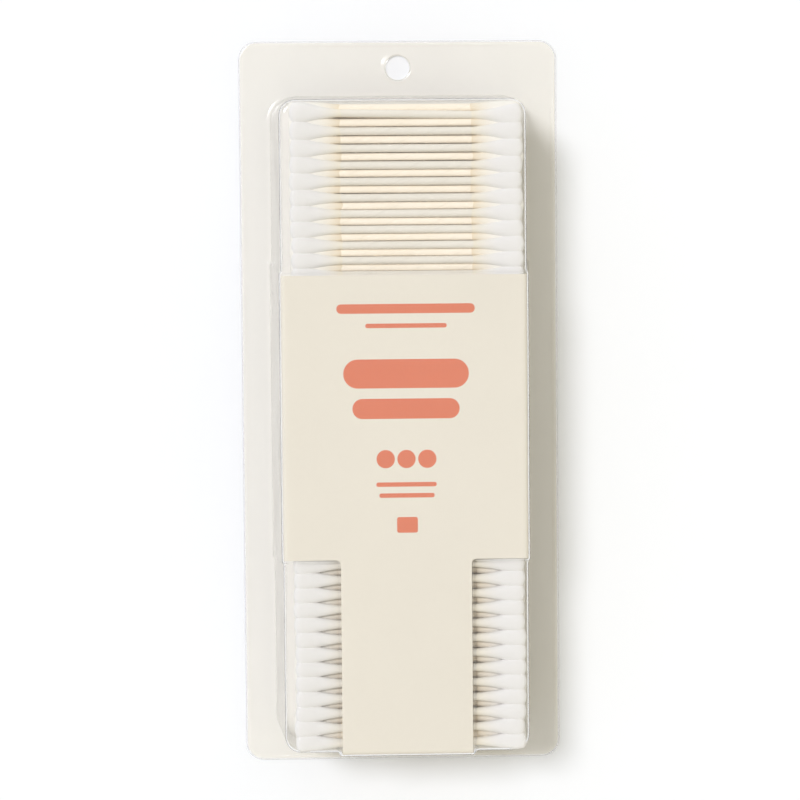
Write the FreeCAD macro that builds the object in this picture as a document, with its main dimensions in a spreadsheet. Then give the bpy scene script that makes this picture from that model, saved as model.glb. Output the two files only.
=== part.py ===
"""Sealed blister pack of cotton swabs, lying on its back, sizes in millimetres.

X runs across the pack, Y runs along it towards the hang hole and Z points out of the face.
"""
import FreeCAD
import Part
import os
from FreeCAD import Placement, Rotation, Vector

# Sizes

SIZES = (
    ("film_thick", 0.4, "clear film"),
    ("card_thick", 0.5, "backing card"),
    ("card_gap", 0.1, "play between the card edge and the film skirt"),
    ("flange_side", 10.1, "flange beside the bubble"),
    ("flange_head", 18.2, "flange at the hang-hole end"),
    ("flange_foot", 7.6, "flange at the other end"),
    ("flange_corner", 6.0, "flange corner radius"),
    ("rim_width", 1.8, "raised rim of the flange"),
    ("rim_height", 0.35, "rise of that rim"),
    ("hole_radius", 4.0, "hang hole"),
    ("hole_inset", 8.9, "hang hole from the end of the flange"),
    ("ring_width", 1.3, "raised ring round the hole"),
    ("ring_height", 0.3, "rise of that ring"),
    ("draft", 4.0, "how far each bubble wall leans in from foot to face"),
    ("face_corner", 4.8, "bubble corner radius at the face"),
    ("face_round", 2.0, "rounding of the face edge"),
    ("pocket_rise", 1.2, "label pocket above the face"),
    ("pocket_foot", 0.6, "label pocket outside the wall at the foot"),
    ("band_length", 92.2, "wide band of the pocket along"),
    ("band_shift", 3.2, "wide band above the bubble's middle"),
    ("stem_width", 43.5, "narrow stem of the pocket across"),
    ("label_thick", 0.35, "label card"),
    ("label_gap", 0.05, "play between the label and the pocket face"),
    ("label_play", 0.5, "play between the label edge and the pocket step"),
    ("flap_depth", 3.2, "how far the label edges fold down"),
    ("swab_length", 74.0, "one swab from end to end"),
    ("stick_radius", 1.25, "paper stick"),
    ("tip_radius", 2.28, "cotton tip at its thickest"),
    ("tip_length", 16.0, "cotton tip along the stick"),
    ("nose_radius", 1.6, "blunt end of the cotton"),
    ("nose_length", 3.2, "from the blunt end to the thickest place"),
    ("cotton_wrap", 0.1, "cotton round the stick at its thin end"),
    ("end_gap", 1.5, "play between the swab ends and the film"),
    ("row_gap", 0.33, "play between the outermost swabs and the film"),
    ("tip_gap", 0.07, "play above and below the pile of swabs"),
    ("tip_play", 0.18, "play between neighbours in a layer"),
    ("nest_play", 0.02, "play between a swab and the two it lies on"),
    ("extra_pitch", 0.58, "looser spacing next to the hang-hole end"),
    ("dome_depth", 1.5, "how far the cotton ends stand out of the lower layers"),
    ("top_swabs", 42, "swabs in the top layer"),
    ("loose_swabs", 24, "swabs of that layer over which the spacing tightens"),
    ("layers", 12, "layers of swabs"),
)
DERIVED = (
    ("swab_pitch", "2 * tip_radius + tip_play", "from swab to swab"),
    ("layer_pitch", "sqrt((2 * tip_radius + nest_play) ^ 2 - (swab_pitch / 2) ^ 2)",
     "from layer to layer, each swab lying between two others"),
    ("cavity_depth", "(layers - 1) * layer_pitch + 2 * tip_radius + 2 * tip_gap",
     "from the card to the inside of the face"),
    ("row_length", "(top_swabs - 1) * swab_pitch + extra_pitch * (loose_swabs + 1) / 2",
     "from the first swab's middle to the last one's"),
    ("bubble_width", "swab_length + 2 * (end_gap + film_thick + draft)", "foot across"),
    ("bubble_length", "row_length + 2 * (tip_radius + row_gap + film_thick + draft)",
     "foot along"),
    ("bubble_centre", "(flange_foot - flange_head) / 2", "bubble middle along the pack"),
    ("flange_width", "bubble_width + 2 * flange_side", "film flange across"),
    ("flange_length", "bubble_length + flange_head + flange_foot", "film flange along"),
    ("hole_centre", "flange_length / 2 - hole_inset", "hang hole along the pack"),
    ("face_height", "card_thick + cavity_depth + film_thick", "outside of the face"),
    ("pocket_height", "face_height + pocket_rise", "outside of the label pocket"),
    ("band_centre", "bubble_centre + band_shift", "wide band middle"),
    ("label_length", "band_length - 2 * (film_thick + label_play)", "wide part along"),
    ("label_stem", "stem_width - 2 * (film_thick + label_play)", "narrow part across"),
    ("neck_radius", "stick_radius + cotton_wrap", "thin end of the cotton"),
)
TIP_SIDES = 6
NEAR = 1e-5
ALONG_X = Rotation(Vector(1, 1, 1), 120)


# Document and sheet

def make_sheet(doc):
    """Write every size once, then what follows from the sizes, each with its name."""
    sheet = doc.addObject("Spreadsheet::Sheet", "Sizes")
    follows = tuple((name, "=" + rule, meaning) for name, rule, meaning in DERIVED)
    for row, (name, value, meaning) in enumerate(SIZES + follows, start=1):
        sheet.set("A%d" % row, name)
        sheet.set("B%d" % row, str(value))
        sheet.set("C%d" % row, meaning)
        sheet.setAlias("B%d" % row, name)
    doc.recompute()
    return sheet


def size(doc, name):
    """Read one size back from the sheet."""
    return float(getattr(doc.Sizes, name))


def count(doc, name):
    """Read one whole number back from the sheet."""
    return int(round(size(doc, name)))


def cells(text):
    """Turn size names marked with @ into references to the sheet."""
    return text.replace("@", "Sizes.")


def bind(item, prop, text):
    """Bind a property to a formula in named sizes."""
    item.setExpression(prop, cells(text))


def new_body(doc, name):
    """Start an empty body."""
    return doc.addObject("PartDesign::Body", name)


def ground_plane(body):
    """Find the body's own XY plane."""
    return next(item for item in body.Origin.OriginFeatures if item.Role == "XY_Plane")


# Sketches

def new_sketch(body, name, centre, height):
    """Lay an empty sketch over the body's ground plane, shifted along Y and lifted along Z."""
    sketch = body.newObject("Sketcher::SketchObject", name)
    sketch.AttachmentSupport = [(ground_plane(body), "")]
    sketch.MapMode = "FlatFace"
    bind(sketch, "AttachmentOffset.Base.y", centre)
    bind(sketch, "AttachmentOffset.Base.z", height)
    return sketch


def size_rectangle(sketch, left, right, bottom, top, width, length):
    """Give the rectangle its two main sizes between the named sketch points."""
    from Sketcher import Constraint
    across = sketch.addConstraint(Constraint("DistanceX", *left, *right, sketch_value(sketch, width)))
    sketch.renameConstraint(across, "width")
    along = sketch.addConstraint(Constraint("DistanceY", *bottom, *top, sketch_value(sketch, length)))
    sketch.renameConstraint(along, "length")
    bind(sketch, "Constraints.width", width)
    bind(sketch, "Constraints.length", length)


def sketch_value(sketch, text):
    """Work out a formula for the starting shape of a sketch."""
    return float(sketch.evalExpression(cells(text)))


def sharp_rectangle(body, name, width, length, centre, height):
    """Draw a centred rectangle with sharp corners."""
    from Sketcher import Constraint
    sketch = new_sketch(body, name, centre, height)
    half_w = sketch_value(sketch, width) / 2
    half_l = sketch_value(sketch, length) / 2
    spots = [Vector(-half_w, -half_l, 0), Vector(half_w, -half_l, 0),
             Vector(half_w, half_l, 0), Vector(-half_w, half_l, 0)]
    for index in range(4):
        sketch.addGeometry(Part.LineSegment(spots[index], spots[(index + 1) % 4]), False)
    rules = [Constraint("Coincident", index, 2, (index + 1) % 4, 1) for index in range(4)]
    rules += [Constraint("Horizontal", 0), Constraint("Horizontal", 2)]
    rules += [Constraint("Vertical", 1), Constraint("Vertical", 3)]
    rules.append(Constraint("Symmetric", 0, 1, 2, 1, -1, 1))
    sketch.addConstraint(rules)
    size_rectangle(sketch, (0, 1), (0, 2), (1, 1), (1, 2), width, length)
    return sketch


def round_rectangle(body, name, width, length, corner, centre, height):
    """Draw a centred rectangle with four equal round corners."""
    from Sketcher import Constraint
    from math import pi
    sketch = new_sketch(body, name, centre, height)
    radius = sketch_value(sketch, corner)
    half_w = sketch_value(sketch, width) / 2
    half_l = sketch_value(sketch, length) / 2
    in_w = half_w - radius
    in_l = half_l - radius
    lines = [((-in_w, -half_l), (in_w, -half_l)), ((half_w, -in_l), (half_w, in_l)),
             ((in_w, half_l), (-in_w, half_l)), ((-half_w, in_l), (-half_w, -in_l))]
    middles = [(in_w, -in_l), (in_w, in_l), (-in_w, in_l), (-in_w, -in_l)]
    up = Vector(0, 0, 1)
    for quarter in range(4):
        start, end = lines[quarter]
        sketch.addGeometry(Part.LineSegment(Vector(*start, 0), Vector(*end, 0)), False)
        circle = Part.Circle(Vector(*middles[quarter], 0), up, radius)
        first = (quarter - 1) * pi / 2
        sketch.addGeometry(Part.ArcOfCircle(circle, first, first + pi / 2), False)
    rules = [Constraint("Tangent", index, 2, (index + 1) % 8, 1) for index in range(8)]
    rules += [Constraint("Horizontal", 0), Constraint("Horizontal", 4)]
    rules += [Constraint("Vertical", 2), Constraint("Vertical", 6)]
    rules.append(Constraint("Equal", 1, 3))
    rules.append(Constraint("Symmetric", 6, 1, 2, 2, -2))
    rules.append(Constraint("Symmetric", 0, 1, 4, 2, -1))
    sketch.addConstraint(rules)
    turn = sketch.addConstraint(Constraint("Radius", 1, radius))
    sketch.renameConstraint(turn, "corner")
    bind(sketch, "Constraints.corner", corner)
    size_rectangle(sketch, (6, 1), (2, 2), (0, 1), (4, 2), width, length)
    return sketch


def circle_sketch(body, name, radius, centre, height):
    """Draw one circle on the middle line."""
    from Sketcher import Constraint
    sketch = new_sketch(body, name, centre, height)
    value = sketch_value(sketch, radius)
    sketch.addGeometry(Part.Circle(Vector(0, 0, 0), Vector(0, 0, 1), value), False)
    sketch.addConstraint(Constraint("Coincident", 0, 3, -1, 1))
    turn = sketch.addConstraint(Constraint("Radius", 0, value))
    sketch.renameConstraint(turn, "radius")
    bind(sketch, "Constraints.radius", radius)
    return sketch


# Features

def pad(body, name, sketch, length):
    """Raise a sketch by a bound length."""
    feature = body.newObject("PartDesign::Pad", name)
    feature.Profile = sketch
    bind(feature, "Length", length)
    sketch.Visibility = False
    body.Document.recompute()
    return feature


def pocket(body, name, sketch, length):
    """Cut a sketch down by a bound length."""
    feature = body.newObject("PartDesign::Pocket", name)
    feature.Profile = sketch
    bind(feature, "Length", length)
    sketch.Visibility = False
    body.Document.recompute()
    return feature


def lean_out(body, name, block, angle):
    """Lean the walls of a block outwards below its top face, as in a mould."""
    top = []
    walls = []
    for number, face in enumerate(block.Shape.Faces, start=1):
        u_1, u_2, v_1, v_2 = face.ParameterRange
        slope = face.normalAt((u_1 + u_2) / 2, (v_1 + v_2) / 2).z
        if slope > 0.9:
            top.append("Face%d" % number)
        elif abs(slope) < 0.1:
            walls.append("Face%d" % number)
    feature = body.newObject("PartDesign::Draft", name)
    feature.Base = (block, walls)
    feature.NeutralPlane = (block, top)
    bind(feature, "Angle", angle)
    body.Document.recompute()
    return feature


def dress(body, kind, name, base, wanted, prop, amount):
    """Round or bevel the edges of a feature that pass a test."""
    numbers = [number for number, edge in enumerate(base.Shape.Edges, start=1) if wanted(edge)]
    feature = body.newObject(kind, name)
    feature.Base = (base, ["Edge%d" % number for number in numbers])
    bind(feature, prop, amount)
    body.Document.recompute()
    return feature


def top_edge(shape):
    """Make a test for edges that lie in the top plane of a shape."""
    top = shape.BoundBox.ZMax
    return lambda edge: all(abs(vertex.Z - top) < NEAR for vertex in edge.Vertexes)


# Forms of the bubble and of its label pocket

def minus(text, inset):
    """Take a thickness off a formula."""
    return "%s - (%s)" % (text, inset)


def mould_block(body, name, sketch, height, angle):
    """Run a sketch of the face down to the card and lean its walls."""
    block = body.newObject("PartDesign::Pad", name + "Block")
    block.Profile = sketch
    block.Reversed = True
    bind(block, "Length", "%s - @card_thick" % height)
    sketch.Visibility = False
    body.Document.recompute()
    return lean_out(body, name + "Walls", block, angle)


def bubble_form(doc, name, inset):
    """Make the block of the bubble, drawn in by a thickness, with its walls leaning."""
    body = new_body(doc, name)
    height = minus("@face_height", inset)
    face = round_rectangle(body, name + "Face", "@bubble_width - 2 * @draft - 2 * (%s)" % inset,
                           "@bubble_length - 2 * @draft - 2 * (%s)" % inset,
                           minus("@face_corner", inset), "@bubble_centre", height)
    walls = mould_block(body, name, face, height,
                        "atan(@draft / (@face_height - @card_thick))")
    return body, walls


def bubble_outside(doc):
    """Outside of the bubble, its face edge rounded."""
    body, walls = bubble_form(doc, "BubbleOuter", "0")
    dress(body, "PartDesign::Fillet", "BubbleRound", walls, top_edge(walls.Shape), "Radius",
          "@face_round")
    return body


def bubble_inside(doc):
    """Inside of the bubble, its face edge bevelled just clear of the rounding outside."""
    body, walls = bubble_form(doc, "BubbleInner", "@film_thick")
    dress(body, "PartDesign::Chamfer", "BubbleBevel", walls, top_edge(walls.Shape), "Size",
          "@face_round * (2 - sqrt(2)) - @film_thick * (2 - sqrt(2))")
    return body


def pocket_top(inset):
    """Height of the pocket face, drawn in by a thickness."""
    return minus("@pocket_height", inset)


def pocket_form(doc, name, inset, width, low, high, along):
    """Make one block of the label pocket; its long edges along one axis are rounded."""
    body = new_body(doc, name)
    height = pocket_top(inset)
    face = sharp_rectangle(body, name + "Face", width, "(%s) - (%s)" % (high, low),
                           "((%s) + (%s)) / 2" % (high, low), height)
    walls = mould_block(body, name, face, height, "atan((@draft - @pocket_rise + @pocket_foot)"
                        " / (@pocket_height - @card_thick))")
    in_top = top_edge(walls.Shape)
    dress(body, "PartDesign::Fillet", name + "Round", walls,
          lambda edge: in_top(edge) and along(edge), "Radius", minus("@face_round", inset))
    return body


def band_form(doc, name, inset, longer="0"):
    """Make the wide band of the pocket, drawn in by a thickness."""
    return pocket_form(
        doc, name, inset, "@bubble_width - 2 * @draft + 2 * @pocket_rise - 2 * (%s)" % inset,
        "@band_centre - @band_length / 2 + (%s) - (%s)" % (inset, longer),
        "@band_centre + @band_length / 2 - (%s) + (%s)" % (inset, longer),
        lambda edge: abs(edge.Vertexes[0].X - edge.Vertexes[1].X) < NEAR)


def stem_form(doc, name, inset, wider="0"):
    """Make the narrow stem of the pocket, which runs over the end of the bubble."""
    return pocket_form(
        doc, name, inset, "@stem_width - 2 * (%s) + (%s)" % (inset, wider),
        "@bubble_centre - @bubble_length / 2 + @draft - @pocket_rise + (%s)" % inset,
        "@band_centre", lambda edge: edge.CenterOfMass.y < -size(doc, "bubble_length") / 3
        and abs(edge.Vertexes[0].Y - edge.Vertexes[1].Y) < NEAR)


# Sub-parts

def make_card(doc):
    """Backing card: a flat sheet with round corners and the hang hole."""
    body = new_body(doc, "backing_card")
    inset = "@film_thick + @card_gap"
    outline = round_rectangle(body, "CardOutline", "@flange_width - 2 * (%s)" % inset,
                              "@flange_length - 2 * (%s)" % inset,
                              "@flange_corner - (%s)" % inset, "0", "0")
    pad(body, "CardSheet", outline, "@card_thick")
    hole = circle_sketch(body, "CardHoleOutline", "@hole_radius", "@hole_centre", "@card_thick")
    pocket(body, "CardHole", hole, "@card_thick")
    return body


def flange_form(doc):
    """Flange of the film with its raised rim and the ring round the hole, still solid."""
    body = new_body(doc, "FlangeForm")
    outline = round_rectangle(body, "FlangeOutline", "@flange_width", "@flange_length",
                              "@flange_corner", "0", "0")
    pad(body, "FlangeSheet", outline, "@card_thick + @film_thick + @rim_height")
    inner = round_rectangle(body, "RimOutline", "@flange_width - 2 * @rim_width",
                            "@flange_length - 2 * @rim_width", "@flange_corner - @rim_width",
                            "0", "@card_thick + @film_thick + @rim_height")
    pocket(body, "RimStep", inner, "@rim_height")
    ring = circle_sketch(body, "RingOutline", "@hole_radius + @ring_width", "@hole_centre",
                         "@card_thick + @film_thick")
    pad(body, "Ring", ring, "@ring_height")
    return body


def card_recess(doc):
    """Room for the backing card inside the skirt of the flange."""
    body = new_body(doc, "CardRecess")
    outline = round_rectangle(body, "RecessOutline", "@flange_width - 2 * @film_thick",
                              "@flange_length - 2 * @film_thick",
                              "@flange_corner - @film_thick", "0", "-@card_thick")
    pad(body, "RecessBlock", outline, "2 * @card_thick")
    return body


def hole_form(doc):
    """Round bar that cuts the hang hole."""
    bar = doc.addObject("Part::Cylinder", "HoleForm")
    bind(bar, "Radius", "@hole_radius")
    bind(bar, "Height", "4 * @card_thick + 4 * @film_thick")
    bind(bar, "Placement.Base.y", "@hole_centre")
    bind(bar, "Placement.Base.z", "-@card_thick")
    return bar


def make_blister(doc):
    """Clear film: flange, bubble and label pocket, all hollow from below."""
    outside = doc.addObject("Part::MultiFuse", "BlisterOutside")
    outside.Shapes = [flange_form(doc), bubble_outside(doc),
                      band_form(doc, "BandOuter", "0"), stem_form(doc, "StemOuter", "0")]
    inside = doc.addObject("Part::MultiFuse", "BlisterInside")
    inside.Shapes = [card_recess(doc), bubble_inside(doc),
                     band_form(doc, "BandInner", "@film_thick"),
                     stem_form(doc, "StemInner", "@film_thick"), hole_form(doc)]
    blister = doc.addObject("Part::Cut", "clear_blister")
    blister.Base = outside
    blister.Tool = inside
    return blister


def label_box(doc, name, width, length, centre):
    """Block that keeps only the label's own face and its short folded edges."""
    box = doc.addObject("Part::Box", name)
    bind(box, "Width", length)
    bind(box, "Length", width)
    bind(box, "Height", "@flap_depth + @pocket_rise")
    bind(box, "Placement.Base.x", "-(%s) / 2" % width)
    bind(box, "Placement.Base.y", "%s - (%s) / 2" % (centre, length))
    bind(box, "Placement.Base.z", pocket_top("@film_thick") + " - @flap_depth")
    return box


def make_label(doc):
    """T-shaped label: a wide part folded over both sides, a stem folded over the end."""
    skin = "@film_thick + @label_gap"
    core = skin + " + @label_thick"
    longer = "@stem_width / 4"
    wide = doc.addObject("Part::Cut", "LabelWideSkin")
    wide.Base = band_form(doc, "LabelWideOuter", skin, longer)
    wide.Tool = band_form(doc, "LabelWideInner", core, longer)
    wide_part = doc.addObject("Part::Common", "LabelWide")
    wide_part.Base = wide
    wide_part.Tool = label_box(doc, "LabelWideBox", "@flange_width", "@label_length",
                               "@band_centre")
    stem = doc.addObject("Part::Cut", "LabelStemSkin")
    stem.Base = stem_form(doc, "LabelStemOuter", skin, longer)
    stem.Tool = stem_form(doc, "LabelStemInner", core, longer)
    stem_part = doc.addObject("Part::Common", "LabelStem")
    stem_part.Base = stem
    stem_part.Tool = label_box(doc, "LabelStemBox", "@label_stem",
                               "@flange_length / 2 - @label_length / 4",
                               "-@flange_length / 4 - @label_length / 8")
    label = doc.addObject("Part::Fuse", "label_card")
    label.Base = wide_part
    label.Tool = stem_part
    label.Refine = True
    return label


# Swabs

def column_places(doc):
    """Places of the swabs along Y: top-layer swabs and the gaps between them, in turn."""
    pitch = size(doc, "swab_pitch")
    loose = size(doc, "extra_pitch")
    fade = size(doc, "loose_swabs")
    steps = [pitch + loose * max(0.0, 1 - index / fade) for index in range(count(doc, "top_swabs") - 1)]
    place = size(doc, "bubble_centre") + size(doc, "row_length") / 2
    columns = [place]
    for step in steps:
        columns += [place - step / 2, place - step]
        place -= step
    return columns


def layer_height(doc, layer):
    """Height of the swab middles in a layer, counted from the face down."""
    top = size(doc, "card_thick") + size(doc, "cavity_depth")
    top -= size(doc, "tip_gap") + size(doc, "tip_radius")
    return top - layer * size(doc, "layer_pitch")


def flat_faced(shape):
    """Give a lofted shape true flat faces, so that each stays two triangles."""
    faces = [Part.Face(Part.makePolygon([vertex.Point for vertex in face.OuterWire.OrderedVertexes]
                                        + [face.OuterWire.OrderedVertexes[0].Point]))
             for face in shape.Faces]
    shell = Part.makeShell(faces)
    shell.sewShape()
    solid = Part.makeSolid(shell)
    if solid.Volume < 0:
        solid.reverse()
    return solid


def tip_form(doc):
    """One cotton tip: blunt end, swelling and long taper to the stick."""
    rings = (("TipNose", "@nose_radius", "@swab_length / 2"),
             ("TipFull", "@tip_radius", "@swab_length / 2 - @nose_length"),
             ("TipNeck", "@neck_radius", "@swab_length / 2 - @tip_length"))
    sections = []
    for name, radius, place in rings:
        ring = doc.addObject("Part::RegularPolygon", name)
        ring.Polygon = TIP_SIDES
        ring.Placement = Placement(Vector(0, 0, 0), ALONG_X)
        bind(ring, "Circumradius", radius)
        bind(ring, "Placement.Base.x", place)
        sections.append(ring)
    tip = doc.addObject("Part::Loft", "CottonTip")
    tip.Sections = sections
    tip.Solid = True
    tip.Ruled = True
    return tip


def stick_form(doc):
    """One paper stick, as far as it shows between the cotton tips."""
    stick = doc.addObject("Part::Prism", "PaperStick")
    stick.Polygon = TIP_SIDES
    stick.Placement = Placement(Vector(0, 0, 0), ALONG_X)
    bind(stick, "Circumradius", "@stick_radius")
    bind(stick, "Height", "@swab_length - 2 * @tip_length")
    bind(stick, "Placement.Base.x", "@tip_length - @swab_length / 2")
    return stick


def spread(doc, shape):
    """Copy a shape to the place of every swab in the top layer."""
    height = layer_height(doc, 0)
    copies = []
    for place in column_places(doc)[::2]:
        copy = shape.copy()
        copy.translate(Vector(0, place, height))
        copies.append(copy)
    return copies


def make_top_swabs(doc):
    """Top layer: one node of sticks and one of cotton tips, every piece a solid of its own."""
    tip = tip_form(doc)
    stick = stick_form(doc)
    doc.recompute()
    sticks = doc.addObject("Part::Feature", "top_paper_sticks")
    sticks.Shape = Part.makeCompound(spread(doc, stick.Shape))
    right = flat_faced(tip.Shape)
    left = right.copy()
    left.rotate(Vector(0, 0, 0), Vector(0, 0, 1), 180)
    tips = doc.addObject("Part::Feature", "top_cotton_tips")
    tips.Shape = Part.makeCompound(spread(doc, right) + spread(doc, left))
    return [sticks, tips]


def prism_along_x(outline, start, length):
    """Run a closed outline of (y, z) pairs along X."""
    points = [Vector(start, y, z) for y, z in outline]
    return Part.Face(Part.makePolygon(points + points[:1])).extrude(Vector(length, 0, 0))


def stick_outline(doc):
    """Outline of the lower sticks: ridges on top, one step a layer at both ends, flat below."""
    columns = column_places(doc)
    radius = size(doc, "stick_radius")
    heights = [layer_height(doc, layer) for layer in range(count(doc, "layers"))]
    top = heights[1]
    outline = []
    for place in columns[1::2]:
        outline += [(place + radius, top - radius), (place + radius, top),
                    (place + radius / 2, top + radius * 0.87),
                    (place - radius / 2, top + radius * 0.87),
                    (place - radius, top), (place - radius, top - radius)]
    ends = {0: (columns[-1], columns[0]), 1: (columns[-2], columns[1])}
    low = [(ends[layer % 2][0] - radius, heights[layer]) for layer in range(2, len(heights))]
    high = [(ends[layer % 2][1] + radius, heights[layer]) for layer in range(2, len(heights))]
    floor = heights[-1] - radius
    bottom = [(low[-1][0] + radius, floor), (high[-1][0] - radius, floor)]
    return outline + low + bottom + high[::-1]


def cell_corners(columns, heights, radius, layer, column):
    """Corners round one cotton end: the low places between it and its neighbours."""
    y, z = columns[column], heights[layer]
    left = columns[column - 1] if column > 0 else y + radius
    right = columns[column + 1] if column + 1 < len(columns) else y - radius
    if layer == 1:
        above = [(y + radius / 2, z + radius * 0.87), (y - radius / 2, z + radius * 0.87)]
    else:
        above = [(y, heights[layer - 1])]
    below = (y, heights[layer + 1] if layer + 1 < len(heights) else z - radius)
    return [(left, z)] + above + [(right, z), below]


def cotton_cells(doc):
    """List the cotton ends of the lower layers with the corners round each."""
    columns = column_places(doc)
    heights = [layer_height(doc, layer) for layer in range(count(doc, "layers"))]
    radius = size(doc, "tip_radius")
    cells_found = []
    for layer in range(1, len(heights)):
        for column in range(layer % 2, len(columns), 2):
            corners = cell_corners(columns, heights, radius, layer, column)
            cells_found.append(((columns[column], heights[layer]), corners))
    return cells_found


def outer_edges(cell_list):
    """Find the corner-to-corner edges that only one cell uses."""
    once = {}
    for _, corners in cell_list:
        for start, end in zip(corners, corners[1:] + corners[:1]):
            key = frozenset((start, end))
            once[key] = None if key in once else (start, end)
    return [edge for edge in once.values() if edge]


def chain(edges):
    """Put loose edges in order round their outline."""
    after = dict(edges)
    spot = edges[0][0]
    outline = [spot]
    while after[spot] != outline[0]:
        spot = after[spot]
        outline.append(spot)
    return outline


def flat_face(points):
    """Make one flat face through the points."""
    return Part.Face(Part.makePolygon(points + points[:1]))


def cotton_block(doc):
    """Cotton of the lower layers on one side, a low point for every swab end."""
    cell_list = cotton_cells(doc)
    inner = size(doc, "swab_length") / 2 - size(doc, "tip_length")
    peak = size(doc, "swab_length") / 2
    plane = peak - size(doc, "dome_depth")
    outline = chain(outer_edges(cell_list))
    faces = [flat_face([Vector(inner, y, z) for y, z in outline])]
    for (y_1, z_1), (y_2, z_2) in zip(outline, outline[1:] + outline[:1]):
        faces.append(flat_face([Vector(inner, y_1, z_1), Vector(inner, y_2, z_2),
                                Vector(plane, y_2, z_2), Vector(plane, y_1, z_1)]))
    for (y_0, z_0), corners in cell_list:
        apex = Vector(peak, y_0, z_0)
        for (y_1, z_1), (y_2, z_2) in zip(corners, corners[1:] + corners[:1]):
            faces.append(flat_face([apex, Vector(plane, y_1, z_1), Vector(plane, y_2, z_2)]))
    shell = Part.makeShell(faces)
    shell.sewShape()
    solid = Part.makeSolid(shell)
    if solid.Volume < 0:
        solid.reverse()
    return solid


def make_lower_swabs(doc):
    """Lower layers, joined: one block of sticks and a block of cotton ends on each side."""
    span = size(doc, "swab_length") - 2 * size(doc, "tip_length")
    sticks = doc.addObject("Part::Feature", "lower_paper_sticks")
    sticks.Shape = prism_along_x(stick_outline(doc), -span / 2, span)
    right = cotton_block(doc)
    left = right.mirror(Vector(0, 0, 0), Vector(1, 0, 0))
    tips = doc.addObject("Part::Feature", "lower_cotton_tips")
    tips.Shape = Part.makeCompound([right, left])
    return [sticks, tips]


# Output

def check(doc, parts):
    """Stop on any object that failed or any sub-part without a sound shape."""
    for item in doc.Objects:
        if {"Invalid", "Error"} & set(item.State):
            raise RuntimeError("%s failed: %s" % (item.Name, item.State))
    for item in parts:
        if item.Shape.isNull() or not item.Shape.isValid() or not item.Shape.Solids:
            raise RuntimeError("%s has no sound shape" % item.Label)


def main():
    """Build every sub-part and write one STEP file for each."""
    os.makedirs("parts", exist_ok=True)
    doc = FreeCAD.newDocument("SwabPack")
    make_sheet(doc)
    parts = [make_card(doc), make_blister(doc), make_label(doc)]
    parts += make_top_swabs(doc)
    parts += make_lower_swabs(doc)
    doc.recompute()
    check(doc, parts)
    for item in parts:
        item.Shape.exportStep("parts/%s.step" % item.Label)
        box = item.Shape.BoundBox
        print("%s: %d solids, %.1f mm3, x %.2f..%.2f y %.2f..%.2f z %.2f..%.2f" % (
            item.Label, len(item.Shape.Solids), item.Shape.Volume, box.XMin, box.XMax,
            box.YMin, box.YMax, box.ZMin, box.ZMax))


main()
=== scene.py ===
"""Looks, light and camera for a sealed blister pack of cotton swabs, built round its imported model.

Sizes in the classes are millimetres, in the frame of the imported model: X across the pack, Y
towards the hang hole, Z out of the face. Meshes are turned into metres when they are made.
"""
import logging
import math
from dataclasses import dataclass, field
from enum import Enum
from typing import Any, Callable, Iterable, Optional, Sequence

import bpy
import numpy as np
from mathutils import Matrix, Vector


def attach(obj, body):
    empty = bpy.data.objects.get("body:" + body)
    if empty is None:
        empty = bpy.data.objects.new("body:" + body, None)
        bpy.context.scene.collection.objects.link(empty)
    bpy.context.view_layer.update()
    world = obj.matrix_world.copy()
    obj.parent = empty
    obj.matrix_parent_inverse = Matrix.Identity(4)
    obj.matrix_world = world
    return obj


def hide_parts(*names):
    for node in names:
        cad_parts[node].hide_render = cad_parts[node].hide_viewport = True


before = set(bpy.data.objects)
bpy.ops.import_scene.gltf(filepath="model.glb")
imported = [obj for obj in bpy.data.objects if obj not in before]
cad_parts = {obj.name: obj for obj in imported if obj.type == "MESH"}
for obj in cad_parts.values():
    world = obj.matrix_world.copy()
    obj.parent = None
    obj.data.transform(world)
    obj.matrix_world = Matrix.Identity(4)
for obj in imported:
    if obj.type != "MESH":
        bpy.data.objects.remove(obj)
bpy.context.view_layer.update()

MM = 0.001
PRINT_EDGE = 0.12
LOG = logging.getLogger("swab_pack")

Colour = tuple[float, float, float]
Path = list[tuple[float, float]]


class Slot(Enum):
    """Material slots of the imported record."""

    CARD = "card"
    FILM = "clear_film"
    LABEL = "label"
    STICK = "paper_stick"
    COTTON = "cotton"


class Side(Enum):
    """The four walls of the bubble, each with the way it faces."""

    RIGHT = (1.0, 0.0)
    HEAD = (0.0, 1.0)
    LEFT = (-1.0, 0.0)
    FOOT = (0.0, -1.0)


# Shader nodes

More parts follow.
